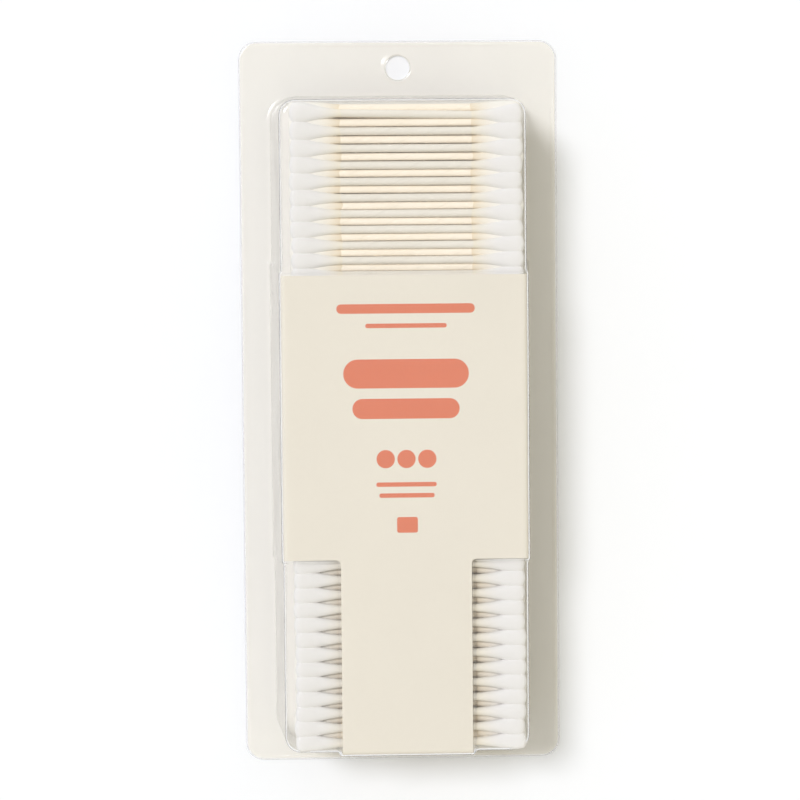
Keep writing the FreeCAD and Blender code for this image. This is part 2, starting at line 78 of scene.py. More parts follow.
class Wiring:
    """Places nodes in one tree and joins their sockets."""

    def __init__(self, tree: bpy.types.NodeTree) -> None:
        """Start with a tree that is still to be filled."""
        self.tree = tree

    def add(self, kind: str, inputs: Optional[dict] = None, **settings: Any) -> bpy.types.Node:
        """Place a node.

        Args:
            kind: Node type, such as ShaderNodeMath.
            inputs: Values or output sockets, by socket name or number.
            settings: Properties of the node itself.

        Returns:
            The placed node.
        """
        node = self.tree.nodes.new(kind)
        for name, value in settings.items():
            setattr(node, name, value)
        for key, value in (inputs or {}).items():
            self.feed(node.inputs[key], value)
        return node

    def feed(self, socket: bpy.types.NodeSocket, value: Any) -> None:
        """Set a socket to a value, or join it to an output.

        Args:
            socket: The input socket.
            value: A plain value or an output socket.
        """
        if isinstance(value, bpy.types.NodeSocket):
            self.tree.links.new(value, socket)
        else:
            socket.default_value = value

    def sum(self, operation: str, first: Any, second: Any = 0.0, clamp: bool = False) -> bpy.types.NodeSocket:
        """Work out one step of arithmetic.

        Args:
            operation: Name of the operation.
            first: Value or socket.
            second: Value or socket.
            clamp: Keep the result between 0 and 1.

        Returns:
            The result's socket.
        """
        node = self.add("ShaderNodeMath", {0: first, 1: second}, operation=operation, use_clamp=clamp)
        return node.outputs[0]

    def ramp(self, value: Any, factor: float, plus: float, clamp: bool = False) -> bpy.types.NodeSocket:
        """Multiply a value by a factor and add a number to it."""
        node = self.add("ShaderNodeMath", {0: value, 1: factor, 2: plus}, operation="MULTIPLY_ADD", use_clamp=clamp)
        return node.outputs[0]

    def blend(self, share: Any, first: Any, second: Any) -> bpy.types.NodeSocket:
        """Blend two colours.

        Args:
            share: How much of the second colour, value or socket.
            first: Colour or socket.
            second: Colour or socket.

        Returns:
            The colour's socket.
        """
        node = self.add("ShaderNodeMix", {0: share, 6: first, 7: second}, data_type="RGBA")
        return node.outputs[2]

    def noise(self, where: Any, scale: float, detail: float = 3.0, rough: float = 0.55) -> bpy.types.NodeSocket:
        """Place a noise texture.

        Args:
            where: Coordinate socket.
            scale: Features to the metre.
            detail: Number of octaves.
            rough: Weight of the finer octaves.

        Returns:
            Socket of its value, from 0 to 1.
        """
        node = self.add("ShaderNodeTexNoise", {"Vector": where, "Scale": scale, "Detail": detail,
                                               "Roughness": rough})
        return node.outputs[0]

    def own_place(self) -> bpy.types.NodeSocket:
        """Coordinate of the piece itself."""
        return self.add("ShaderNodeTexCoord").outputs["Object"]

    def stretched(self, where: Any, factors: Any) -> bpy.types.NodeSocket:
        """Scale a coordinate by its own factor along each axis."""
        node = self.add("ShaderNodeVectorMath", {0: where, 1: factors}, operation="MULTIPLY")
        return node.outputs[0]


class Effect:
    """A shared node group, built the first time that a material asks for it."""

    made: dict[str, bpy.types.NodeTree] = {}

    @classmethod
    def start(cls, name: str, inputs: dict[str, tuple[str, Any]], outputs: dict[str, str]) -> tuple:
        """Open a new group with named sockets.

        Args:
            name: Name of the group.
            inputs: Socket kind and starting value by name.
            outputs: Socket kind by name.

        Returns:
            Its wiring, and its input and output nodes.
        """
        tree = bpy.data.node_groups.new(name, "ShaderNodeTree")
        for label, (kind, value) in inputs.items():
            socket = tree.interface.new_socket(name=label, in_out="INPUT", socket_type=kind)
            socket.default_value = value
        for label, kind in outputs.items():
            tree.interface.new_socket(name=label, in_out="OUTPUT", socket_type=kind)
        wires = Wiring(tree)
        cls.made[name] = tree
        return wires, wires.add("NodeGroupInput").outputs, wires.add("NodeGroupOutput").inputs

    @classmethod
    def use(cls, wires: Wiring, name: str, inputs: dict) -> bpy.types.Node:
        """Place a group in a material.

        Args:
            wires: Wiring of the material.
            name: Name of the effect.
            inputs: Values or sockets by name.

        Returns:
            The group node.
        """
        if name not in cls.made:
            RECIPES[name]()
        node = wires.add("ShaderNodeGroup", node_tree=cls.made[name])
        for key, value in inputs.items():
            wires.feed(node.inputs[key], value)
        return node


def fibre_grain() -> None:
    """Build the fibre effect: drawn-out strands over a finer, even grain."""
    wires, given, out = Effect.start(
        "Fibre grain",
        {"Vector": ("NodeSocketVector", (0, 0, 0)), "Draw": ("NodeSocketVector", (1, 1, 1)),
         "Scale": ("NodeSocketFloat", 1000.0), "Grain": ("NodeSocketFloat", 0.4)},
        {"Height": "NodeSocketFloat", "Shade": "NodeSocketFloat"})
    drawn = wires.stretched(given["Vector"], given["Draw"])
    strands = wires.noise(drawn, given["Scale"], 4.0, 0.6)
    finer = wires.noise(given["Vector"], wires.sum("MULTIPLY", given["Scale"], 3.1), 2.0)
    share = wires.sum("SUBTRACT", 1.0, given["Grain"])
    height = wires.sum("ADD", wires.sum("MULTIPLY", strands, share),
                       wires.sum("MULTIPLY", finer, given["Grain"]))
    wires.feed(out["Height"], height)
    wires.feed(out["Shade"], wires.sum("SUBTRACT", strands, 0.5))


def cloudy_tone() -> None:
    """Build the tone effect: a colour that drifts a little over the surface."""
    wires, given, out = Effect.start(
        "Cloudy tone",
        {"Vector": ("NodeSocketVector", (0, 0, 0)), "Light": ("NodeSocketColor", (1, 1, 1, 1)),
         "Dark": ("NodeSocketColor", (0.9, 0.9, 0.9, 1)), "Scale": ("NodeSocketFloat", 30.0)},
        {"Colour": "NodeSocketColor"})
    clouds = wires.noise(given["Vector"], given["Scale"], 4.0, 0.6)
    steep = wires.ramp(wires.sum("SUBTRACT", clouds, 0.5), 2.2, 0.5, True)
    wires.feed(out["Colour"], wires.blend(steep, given["Light"], given["Dark"]))


def rubbed_gloss() -> None:
    """Build the gloss effect: a roughness with soft rubbed patches and fine scuffs."""
    wires, given, out = Effect.start(
        "Rubbed gloss",
        {"Vector": ("NodeSocketVector", (0, 0, 0)), "Base": ("NodeSocketFloat", 0.3),
         "Spread": ("NodeSocketFloat", 0.1), "Scale": ("NodeSocketFloat", 40.0)},
        {"Roughness": "NodeSocketFloat"})
    patches = wires.noise(given["Vector"], given["Scale"], 3.0)
    drawn = wires.stretched(given["Vector"], (9.0, 1.0, 4.0))
    scratches = wires.noise(drawn, wires.sum("MULTIPLY", given["Scale"], 6.0), 2.0, 0.7)
    scuffs = wires.sum("MULTIPLY", wires.sum("SUBTRACT", scratches, 0.68, True), 4.0, True)
    spread = wires.sum("MULTIPLY", wires.sum("SUBTRACT", patches, 0.5), given["Spread"])
    rough = wires.sum("ADD", given["Base"], spread)
    wires.feed(out["Roughness"], wires.sum("ADD", rough, wires.sum("MULTIPLY", scuffs, 0.1), True))


def printed_field() -> None:
    """Build the print effect: the mask of one upright field with round corners."""
    wires, given, out = Effect.start(
        "Printed field",
        {"Vector": ("NodeSocketVector", (0, 0, 0)), "Centre": ("NodeSocketVector", (0, 0, 0)),
         "Half": ("NodeSocketVector", (1, 1, 0)), "Corner": ("NodeSocketFloat", 0.5)},
        {"Mask": "NodeSocketFloat"})
    away = wires.add("ShaderNodeVectorMath", {0: given["Vector"], 1: given["Centre"]}, operation="SUBTRACT")
    away = wires.add("ShaderNodeVectorMath", {0: away.outputs[0]}, operation="ABSOLUTE")
    away = wires.add("ShaderNodeVectorMath", {0: away.outputs[0], 1: given["Half"]}, operation="SUBTRACT")
    parts = wires.add("ShaderNodeSeparateXYZ", {0: away.outputs[0]}).outputs
    across = wires.sum("MAXIMUM", wires.sum("ADD", parts[0], given["Corner"]), 0.0)
    along = wires.sum("MAXIMUM", wires.sum("ADD", parts[1], given["Corner"]), 0.0)
    far = wires.sum("SQRT", wires.sum("ADD", wires.sum("MULTIPLY", across, across),
                                      wires.sum("MULTIPLY", along, along)))
    inside = wires.sum("SUBTRACT", given["Corner"], far)
    wires.feed(out["Mask"], wires.ramp(inside, 1.0 / (PRINT_EDGE * MM), 0.5, True))


RECIPES: dict[str, Callable[[], None]] = {
    "Fibre grain": fibre_grain, "Cloudy tone": cloudy_tone,
    "Rubbed gloss": rubbed_gloss, "Printed field": printed_field}


def clouded(wires: Wiring, where: Any, light: tuple, dark: tuple, scale: float) -> bpy.types.NodeSocket:
    """Colour that drifts between a light and a dark tone."""
    given = {"Vector": where, "Light": light, "Dark": dark, "Scale": scale}
    return Effect.use(wires, "Cloudy tone", given).outputs["Colour"]


def rubbed(wires: Wiring, where: Any, base: float, spread: float, scale: float) -> bpy.types.NodeSocket:
    """Roughness round a base value, with rubbed patches and scuffs."""
    given = {"Vector": where, "Base": base, "Spread": spread, "Scale": scale}
    return Effect.use(wires, "Rubbed gloss", given).outputs["Roughness"]


def fibres(wires: Wiring, where: Any, draw: tuple, scale: float, grain: float) -> Any:
    """Height and shade of drawn-out fibres."""
    return Effect.use(wires, "Fibre grain", {"Vector": where, "Draw": draw, "Scale": scale, "Grain": grain}).outputs


def rgba(colour: Colour, share: float = 1.0) -> tuple[float, float, float, float]:
    """Give a colour its alpha, scaled in brightness if asked."""
    return (colour[0] * share, colour[1] * share, colour[2] * share, 1.0)


def blank(name: str) -> tuple[bpy.types.Material, Wiring]:
    """Start an empty material.

    Args:
        name: Name of the material.

    Returns:
        The material and its wiring.
    """
    material = bpy.data.materials.new(name)
    material.use_nodes = True
    material.node_tree.nodes.clear()
    return material, Wiring(material.node_tree)


def surface(wires: Wiring, shader: bpy.types.NodeSocket) -> None:
    """Join a shader to the material's output."""
    wires.add("ShaderNodeOutputMaterial", {"Surface": shader})


def matt(wires: Wiring, colour: Any, rough: Any, specular: float, normal: Any) -> None:
    """Finish a material with an opaque shader.

    Args:
        wires: Wiring of the material.
        colour: Colour socket.
        rough: Roughness, value or socket.
        specular: Strength of the reflection.
        normal: Normal socket.
    """
    shader = wires.add("ShaderNodeBsdfPrincipled", {
        "Base Color": colour, "Roughness": rough, "Specular IOR Level": specular, "Normal": normal})
    surface(wires, shader.outputs[0])


def relief(wires: Wiring, height: Any, depth: float, strength: float = 1.0) -> bpy.types.NodeSocket:
    """Turn a height into a normal.

    Args:
        wires: Wiring of the material.
        height: Socket of the height.
        depth: Height of the relief in millimetres.
        strength: Share of the relief that is felt.

    Returns:
        Socket of the normal.
    """
    node = wires.add("ShaderNodeBump", {"Strength": strength, "Distance": depth * MM, "Height": height})
    return node.outputs[0]


@dataclass(frozen=True)
class BoardFinish:
    """Smooth uncoated board: faint clouds in the tone, fine fibres and a soft dry surface."""

    name: str
    tone: Colour
    cloud: float = 0.975
    depth: float = 0.02
    rough: float = 0.72

    def ink(self, wires: Wiring, where: Any, paper: Any) -> Any:
        """Leave the board bare; printed boards lay their fields over it here."""
        return paper

    def material(self) -> bpy.types.Material:
        """Build the board's material."""
        material, wires = blank(self.name)
        where = wires.own_place()
        tone = clouded(wires, where, rgba(self.tone), rgba(self.tone, self.cloud), 28.0)
        grain = fibres(wires, where, (1.0, 0.35, 1.0), 1500.0, 0.5)
        shade = wires.ramp(grain["Shade"], 0.06, 1.0)
        paper = wires.add("ShaderNodeVectorMath", {0: tone, 1: shade}, operation="MULTIPLY")
        matt(wires, self.ink(wires, where, paper.outputs[0]), rubbed(wires, where, self.rough, 0.12, 35.0), 0.35,
             relief(wires, grain["Height"], self.depth))
        return material


@dataclass(frozen=True)
class Field:
    """One plain printed field: its middle, half sizes and corner radius."""

    x: float
    y: float
    half_width: float
    half_height: float
    corner: float


@dataclass(frozen=True)
class PrintedFinish(BoardFinish):
    """Board printed with plain fields of one warm colour."""

    ink_tone: Colour = (0.70, 0.168, 0.075)
    fields: tuple[Field, ...] = ()

    def ink(self, wires: Wiring, where: Any, paper: Any) -> Any:
        """Lay the printed fields over the board.

        Args:
            wires: Wiring of the material.
            where: Coordinate socket.
            paper: Colour socket of the bare board.

        Returns:
            Colour socket of the printed board.
        """
        mask: Any = 0.0
        for spot in self.fields:
            node = Effect.use(wires, "Printed field", {
                "Vector": where, "Centre": (spot.x * MM, spot.y * MM, 0.0),
                "Half": (spot.half_width * MM, spot.half_height * MM, 0.0), "Corner": spot.corner * MM})
            mask = wires.sum("MAXIMUM", mask, node.outputs["Mask"])
        speckle = wires.noise(where, 4200.0, 2.0)
        worn = wires.sum("MULTIPLY", mask, wires.ramp(speckle, 0.08, 0.94))
        return wires.blend(worn, paper, rgba(self.ink_tone))


@dataclass(frozen=True)
class FilmFinish:
    """Clear formed film: glass-like, faintly wavy, with rubbed patches, and open to the lamps."""

    name: str = "clear_film"
    tint: Colour = (0.995, 0.995, 0.99)
    passing: float = 0.985
    steepness: float = 5.0
    index: float = 1.49
    rough: float = 0.085
    spread: float = 0.05

    def material(self) -> bpy.types.Material:
        """Build the film's material."""
        material, wires = blank(self.name)
        where = wires.own_place()
        waves = wires.noise(where, 55.0, 2.0, 0.4)
        shader = wires.add("ShaderNodeBsdfPrincipled", {
            "Base Color": rgba(self.tint), "Transmission Weight": 1.0, "IOR": self.index,
            "Roughness": rubbed(wires, where, self.rough, self.spread, 45.0),
            "Normal": relief(wires, waves, 0.12)})
        rays = wires.add("ShaderNodeLightPath").outputs
        lamps = wires.sum("MAXIMUM", rays["Is Shadow Ray"], rays["Is Diffuse Ray"])
        grazing = wires.add("ShaderNodeLayerWeight", {"Blend": 0.5}).outputs["Facing"]
        mirrored = wires.sum("POWER", grazing, self.steepness)
        passed = wires.sum("MULTIPLY", wires.sum("SUBTRACT", 1.0, mirrored, True), self.passing)
        clear = wires.add("ShaderNodeBsdfTransparent", {"Color": passed})
        mixed = wires.add("ShaderNodeMixShader", {0: lamps, 1: shader.outputs[0], 2: clear.outputs[0]})
        surface(wires, mixed.outputs[0])
        return material


@dataclass(frozen=True)
class CottonFinish:
    """Spun cotton: off-white, matt, with wound fibres and a thin nap."""

    name: str = "cotton"
    tone: Colour = (0.846, 0.826, 0.818)
    hollow: Colour = (0.823, 0.802, 0.79)
    stick_showing_and_bounce: Colour = (0.86, 0.79, 0.66)

    def material(self) -> bpy.types.Material:
        """Build the cotton's material."""
        material, wires = blank(self.name)
        along = wires.add("ShaderNodeUVMap", uv_map="wrap").outputs[0]
        where = wires.own_place()
        wound = fibres(wires, along, (1.0, 0.16, 1.0), 5.0, 0.35)
        tone = clouded(wires, where, rgba(self.tone), rgba(self.hollow), 420.0)
        tufts = wires.noise(where, 1500.0, 3.0, 0.65)
        height = wires.sum("ADD", wires.sum("MULTIPLY", wound["Height"], 0.6), wires.sum("MULTIPLY", tufts, 0.4))
        thin = wires.add("ShaderNodeAttribute", attribute_name="thin").outputs["Fac"]
        # Towards the neck the colour turns creamy: partly the stick showing through thin cotton, partly painted warm
        # bounce light in the shade between the tips.
        veiled_and_bounce_lit = wires.blend(thin, tone, rgba(self.stick_showing_and_bounce))
        matt(wires, veiled_and_bounce_lit, 0.95, 0.15, relief(wires, height, 0.07, 0.7))
        return material


@dataclass(frozen=True)
class StickFinish:
    """Rolled paper stick: pale cream with a spiral seam and long soft fibres."""

    name: str = "paper_stick"
    tone: Colour = (0.845, 0.80, 0.725)
    dark: Colour = (0.815, 0.76, 0.675)
    turns: float = 3.0
    seam_width: float = 0.035

    def material(self) -> bpy.types.Material:
        """Build the stick's material."""
        material, wires = blank(self.name)
        along = wires.add("ShaderNodeUVMap", uv_map="wrap").outputs[0]
        where = wires.own_place()
        parts = wires.add("ShaderNodeSeparateXYZ", {0: along}).outputs
        spiral = wires.sum("FRACT", wires.sum("ADD", wires.sum("MULTIPLY", parts[0], self.turns), parts[1]))
        seam = wires.sum("LESS_THAN", spiral, self.seam_width)
        tone = clouded(wires, where, rgba(self.tone), rgba(self.dark), 90.0)
        lined = wires.blend(wires.sum("MULTIPLY", seam, 0.35), tone, rgba(self.dark, 0.85))
        grain = fibres(wires, where, (0.2, 1.0, 1.0), 2200.0, 0.4)
        height = wires.sum("SUBTRACT", grain["Height"], wires.sum("MULTIPLY", seam, 0.5))
        matt(wires, lined, rubbed(wires, where, 0.6, 0.12, 120.0), 0.35, relief(wires, height, 0.03))
        return material


# Mesh helpers

def fillet(before: Sequence[float], corner: Sequence[float], after: Sequence[float],
           radius: float, steps: int) -> Path:
    """Round one corner of a path.

    Args:
        before: Point before the corner.
        corner: The corner.
        after: Point after it.
        radius: Radius of the rounding.
        steps: Number of runs along the arc.

    Returns:
        Points along the arc, both ends included.
    """
    tip = np.array(corner[:2], float)
    back = np.array(before[:2], float) - tip
    ahead = np.array(after[:2], float) - tip
    back /= np.linalg.norm(back)
    ahead /= np.linalg.norm(ahead)
    half = math.acos(float(np.clip(back @ ahead, -1, 1))) / 2
    reach = radius / math.tan(half)
    middle = tip + (back + ahead) / np.linalg.norm(back + ahead) * radius / math.sin(half)
    start = tip + back * reach - middle
    end = tip + ahead * reach - middle
    angle = math.pi - 2 * half
    turn = math.copysign(angle, start[0] * end[1] - start[1] * end[0])
    points = []
    for step in range(steps + 1):
        swing = turn * step / steps
        points.append((middle[0] + start[0] * math.cos(swing) - start[1] * math.sin(swing),
                       middle[1] + start[0] * math.sin(swing) + start[1] * math.cos(swing)))
    return points


def rounded_path(corners: Sequence[tuple[float, float, float]], steps: int, hold: float = 0.35) -> Path:
    """Draw a path whose corners are rounded, with a short straight run held beside each arc.

    Args:
        corners: Place and rounding radius of each corner; the ends have no rounding.
        steps: Runs along each arc.
        hold: Length of the straight runs beside an arc.

    Returns:
        Points along the path.
    """
    points: Path = [corners[0][:2]]
    for before, here, after in zip(corners, corners[1:], corners[2:]):
        arc = fillet(before, here, after, here[2], steps)
        for end, neighbour, place in ((arc[0], before, 0), (arc[-1], after, len(arc) + 1)):
            away = np.array(neighbour[:2], float) - np.array(end)
            spot = np.array(end) + away / np.linalg.norm(away) * hold
            arc.insert(place, (float(spot[0]), float(spot[1])))
        points += arc
    return points + [corners[-1][:2]]


def piece(name: str, points: np.ndarray, faces: list, material: bpy.types.Material,
          wrap: Optional[np.ndarray] = None, thin: Optional[np.ndarray] = None) -> bpy.types.Object:
    """Make one smooth piece from millimetres.

    Args:
        name: Name of the piece.
        points: Corners in millimetres.
        faces: Corner numbers of each face.
        material: Its material.
        wrap: Two numbers for each corner, along and round the piece.
        thin: For each corner, how thinly the cotton covers its stick.

    Returns:
        The object, not yet riding on a body.
    """
    mesh = bpy.data.meshes.new(name)
    mesh.from_pydata((np.asarray(points) * MM).tolist(), [], faces)
    mesh.shade_smooth()
    if wrap is not None:
        layer = mesh.uv_layers.new(name="wrap")
        order = np.empty(len(mesh.loops), np.int32)
        mesh.loops.foreach_get("vertex_index", order)
        layer.uv.foreach_set("vector", np.asarray(wrap, np.float32)[order].ravel())
    if thin is not None:
        mesh.attributes.new("thin", "FLOAT", "POINT").data.foreach_set("value", thin)
    mesh.materials.append(material)
    item = bpy.data.objects.new(name, mesh)
    bpy.context.scene.collection.objects.link(item)
    return item


def settle(item: bpy.types.Object, *nodes: str) -> bpy.types.Object:
    """Let a piece ride on the pack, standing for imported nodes.

    Args:
        item: The piece.
        nodes: Names of the nodes it stands for.

    Returns:
        The piece.
    """
    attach(item, "root")
    if nodes:
        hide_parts(*nodes)
    LOG.info("%s: %d faces, stands for %s", item.name, len(item.data.polygons), ", ".join(nodes) or "nothing")
    return item


def thicken(item: bpy.types.Object, thickness: float) -> None:
    """Give a skin its thickness, inwards from its outer side."""
    skin = item.modifiers.new("thickness", "SOLIDIFY")
    skin.thickness = thickness * MM
    skin.offset = -1.0
    skin.use_even_offset = True
    skin.use_quality_normals = True
    smooth = item.modifiers.new("flat faces stay flat", "WEIGHTED_NORMAL")
    smooth.weight = 100


def ease(value: np.ndarray) -> np.ndarray:
    """Smooth a run from 0 to 1, level at both ends."""
    value = np.clip(value, 0.0, 1.0)
    return value * value * value * (value * (value * 6 - 15) + 10)


# The pack

@dataclass
class BackingCard:
    """Flat cream card that closes the back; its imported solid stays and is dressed."""

    tone: Colour = (0.92, 0.893, 0.848)

    def build(self) -> None:
        """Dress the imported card."""
        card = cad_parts["backing_card"]
        card.data.materials.clear()
        card.data.materials.append(BoardFinish("cream_card", self.tone).material())
        LOG.info("backing_card: dressed")


@dataclass
class FilmShell:
    """Clear blister: flange, raised rim, hang hole with its ring, bubble and T-shaped label pocket."""

    face_height: float = 48.71
    flange_height: float = 0.9
    thickness: float = 0.34
    middle: float = -5.3
    core_width: float = 34.1
    core_length: float = 99.005
    face_corner: float = 4.8
    draft: float = 4.0
    face_round: float = 2.0
    foot_round: float = 1.3
    foot_run: float = 2.4
    pocket_rise: float = 1.2
    pocket_side: float = 0.5
    pocket_foot: float = 0.6
    band_middle: float = -2.1
    band_half: float = 46.1
    stem_half: float = 21.75
    pocket_lean: float = 3.4
    step_half: float = 0.8
    step_places: tuple[float, ...] = (0.1, 0.3, 0.55, 0.8, 1.6)
    step_clear: float = 2.4
    flange_half_width: float = 53.0
    flange_half_length: float = 120.705
    flange_corner: float = 6.0
    rim_width: float = 1.8
    rim_height: float = 0.35
    hole_y: float = 111.805
    hole_radius: float = 4.0
    patch_half: float = 6.5
    patch_clear: float = 1.0
    patch_columns: int = 11
    even_across: int = 22
    even_along: int = 56
    arc_steps: int = 7
    corner_steps: int = 10
    flange_steps: int = 7
    points: list = field(default_factory=list)
    faces: list = field(default_factory=list)

    def stops(self, low: float, high: float, steps: Sequence[float], even: int) -> np.ndarray:
        """Spread places along a side, closer at the pocket's steps.

        Args:
            low: First place.
            high: Last place.
            steps: Places of the pocket's steps.
            even: Number of even runs along the whole side.

        Returns:
            The sorted places.
        """
        near = [step + way * away for step in steps for way in (-1, 1) for away in self.step_places]
        plain = [place for place in np.linspace(low, high, even + 1)
                 if min(abs(place - step) for step in steps) > self.step_clear or place in (low, high)]
        return np.array(sorted(plain + near))

    def band_share(self, y: np.ndarray) -> np.ndarray:
        """Share of the pocket's rise along the wide band."""
        return ease(0.5 + (self.band_half - np.abs(y - self.band_middle)) / (2 * self.step_half))

    def stem_share(self, x: np.ndarray) -> np.ndarray:
        """Share of the pocket's rise across the stem."""
        return ease(0.5 + (self.stem_half - np.abs(x)) / (2 * self.step_half))

    def add(self, place: Sequence[float]) -> int:
        """Add a corner and give its number."""
        self.points.append(tuple(float(value) for value in place))
        return len(self.points) - 1

    def wall_path(self, pocket: bool) -> Path:
        """Draw the wall from the face to the flange, as distance out and height.

        Args:
            pocket: Whether it passes through the label pocket.

        Returns:
            The path.
        """
        rise = self.pocket_rise if pocket else 0.0
        side = self.pocket_side if pocket else 0.0
        foot = self.pocket_foot if pocket else 0.0
        out = self.face_corner + self.draft + foot
        return rounded_path([(0.0, self.face_height + rise, 0.0),
                             (self.face_corner + side, self.face_height + rise, self.face_round),
                             (out, self.flange_height, self.foot_round),
                             (out + self.foot_run, self.flange_height, 0.0)], self.arc_steps)[1:]

    def face_grid(self, xs: np.ndarray, ys: np.ndarray) -> np.ndarray:
        """Lay the face between the round corners' middles and give its corner numbers, across then along."""
        grid = np.empty((len(xs), len(ys)), int)
        band = self.band_share(ys)
        stem = self.stem_share(xs)
        for i, x in enumerate(xs):
            for j, y in enumerate(ys):
                share = max(band[j], stem[i] if y < self.band_middle else 0.0)
                grid[i, j] = self.add((x, y, self.face_height + self.pocket_rise * share))
        for i in range(len(xs) - 1):
            for j in range(len(ys) - 1):
                self.faces.append([grid[i, j], grid[i + 1, j], grid[i + 1, j + 1], grid[i, j + 1]])
        return grid

    def rim_of_face(self, xs: np.ndarray, ys: np.ndarray, grid: np.ndarray) -> list[dict]:
        """Walk round the face and note how each place runs outwards.

        Args:
            xs: Places across.
            ys: Places along.
            grid: Corner numbers of the face.

        Returns:
            For each place its anchor, way out, pocket share, lean and corner number.
        """
        runs = ((Side.RIGHT, [(xs[-1], y, grid[-1, j]) for j, y in enumerate(ys)], 0.0),
                (Side.HEAD, [(x, ys[-1], grid[i, -1]) for i, x in enumerate(xs)][::-1], 90.0),
                (Side.LEFT, [(xs[0], y, grid[0, j]) for j, y in enumerate(ys)][::-1], 180.0),
                (Side.FOOT, [(x, ys[0], grid[i, 0]) for i, x in enumerate(xs)], 270.0))
        walk = []
        for side, places, angle in runs:
            for x, y, number in places:
                share, lean = 0.0, (0.0, 0.0)
                if side in (Side.RIGHT, Side.LEFT):
                    share = float(self.band_share(np.array(y)))
                    lean = (0.0, self.lean_at(y, self.band_middle, self.band_half, ys[0], ys[-1]))
                elif side is Side.FOOT:
                    share = float(self.stem_share(np.array(x)))
                    lean = (self.lean_at(x, 0.0, self.stem_half, xs[0], xs[-1]), 0.0)
                walk.append({"at": (x, y), "out": side.value, "share": share, "lean": lean,
                             "inner": number, "head": side is Side.HEAD})
            for step in range(1, self.corner_steps):
                turn = math.radians(angle + 90.0 * step / self.corner_steps)
                walk.append({"at": places[-1][:2], "out": (math.cos(turn), math.sin(turn)), "share": 0.0,
                             "lean": (0.0, 0.0), "inner": places[-1][2], "head": False})
        return walk

    def lean_at(self, place: float, middle: float, half: float, low: float, high: float) -> float:
        """How far a place beside the pocket moves outwards by the foot of the wall.

        Args:
            place: Place along the side.
            middle: Middle of the pocket.
            half: Half its size at the face.
            low: First place of the side.
            high: Last place of the side.

        Returns:
            The move, with its sign.
        """
        away = place - middle
        end = (high if away > 0 else low) - middle
        share = min(abs(away) / half, (abs(end) - abs(away)) / (abs(end) - half))
        return math.copysign(self.pocket_lean * max(share, 0.0), away)

    def ring(self, walk: list[dict], spot: Callable[[dict], Sequence[float]]) -> list[int]:
        """Add one ring of corners."""
        return [self.add(spot(place)) for place in walk]

    def join(self, inner: list[int], outer: list[int],
             skip: Callable[[int], bool] = lambda here: False) -> None:
        """Join two rings with faces.

        Args:
            inner: Ring nearer the middle.
            outer: Ring further out.
            skip: Test for places that stay open.
        """
        for here in range(len(outer)):
            ahead = (here + 1) % len(outer)
            if skip(here):
                continue
            loop = [inner[here], outer[here], outer[ahead], inner[ahead]]
            if inner[here] == inner[ahead]:
                loop = loop[:3]
            self.faces.append(loop)

    def wall_spot(self, place: dict, plain: tuple, raised: tuple) -> tuple:
        """Place one corner of the wall.

        Args:
            place: Where it is along the rim of the face.
            plain: Distance out and height without the pocket.
            raised: The same through the pocket.

        Returns:
            The corner.
        """
        share = place["share"]
        height = plain[1] + (raised[1] - plain[1]) * share
        deep = min(max((self.face_height - height) / (self.face_height - self.flange_height), 0.0), 1.0)
        spare = (self.pocket_rise - self.pocket_side) * (1 - deep) if place["out"] == Side.FOOT.value else 0.0
        out = plain[0] + (raised[0] - plain[0] + spare) * share
        return (place["at"][0] + place["out"][0] * out + place["lean"][0] * deep,
                place["at"][1] + place["out"][1] * out + place["lean"][1] * deep, height)

    def flange_spot(self, place: dict, inset: float, height: float) -> tuple:
        """Place one corner of the flange, counted in from its edge.

        Args:
            place: Where it is along the rim of the face.
            inset: Distance in from the edge.
            height: Its height.

        Returns:
            The corner.
        """
        half_w = self.flange_half_width - self.flange_corner
        half_l = self.flange_half_length - self.flange_corner
        out = self.flange_corner - inset
        return (place["at"][0] / self.core_width * half_w + place["out"][0] * out,
                (place["at"][1] - self.middle) / self.core_length * half_l + place["out"][1] * out, height)

    def rim_path(self) -> Path:
        """Draw the raised rim and the skirt, as distance in from the edge and height."""
        flat, top = self.flange_height, self.flange_height + self.rim_height
        width = self.rim_width
        return [(width + 0.5, flat), (width + 0.25, flat + 0.02), (width, flat + 0.12), (width - 0.3, top - 0.08),
                (width - 0.55, top), (0.75, top), (0.45, top - 0.05), (0.18, top - 0.22), (0.04, top - 0.5),
                (0.0, 0.45), (0.0, 0.0)]

    def hole_path(self) -> Path:
        """Draw the ring round the hang hole, as distance from its middle and height."""
        flat, edge = self.flange_height, self.hole_radius
        return [(edge + 1.75, flat), (edge + 1.45, flat + 0.05), (edge + 1.2, flat + 0.2), (edge + 0.9, flat + 0.3),
                (edge + 0.55, flat + 0.28), (edge + 0.25, flat + 0.14), (edge + 0.06, flat - 0.05), (edge, flat - 0.3)]

    def hang_hole(self, rings: list[list[int]], walk: list[dict]) -> None:
        """Fill the open patch of the flange with rings that close in on the hang hole.

        Args:
            rings: Rings of the flange, from the foot of the wall to the rim.
            walk: Places along each ring.
        """
        open_at = [n for n, place in enumerate(walk) if self.in_patch(place)]
        loop = [rings[0][n] for n in open_at]
        loop += [ring[open_at[-1]] for ring in rings[1:]]
        loop += [rings[-1][n] for n in open_at[-2::-1]]
        loop += [ring[open_at[0]] for ring in rings[-2:0:-1]]
        middle = np.array((0.0, self.hole_y))
        turns = [math.atan2(*(np.array(self.points[n][:2]) - middle)[::-1]) for n in loop]
        inner = loop
        for radius, height in self.hole_path():
            outer = [self.add((radius * math.cos(turn), self.hole_y + radius * math.sin(turn), height))
                     for turn in turns]
            self.join(inner, outer)
            inner = outer

    def in_patch(self, place: dict) -> bool:
        """Tell whether a place of the head side lies on the patch round the hole."""
        return place["head"] and abs(place["at"][0]) <= self.patch_half + 1e-6

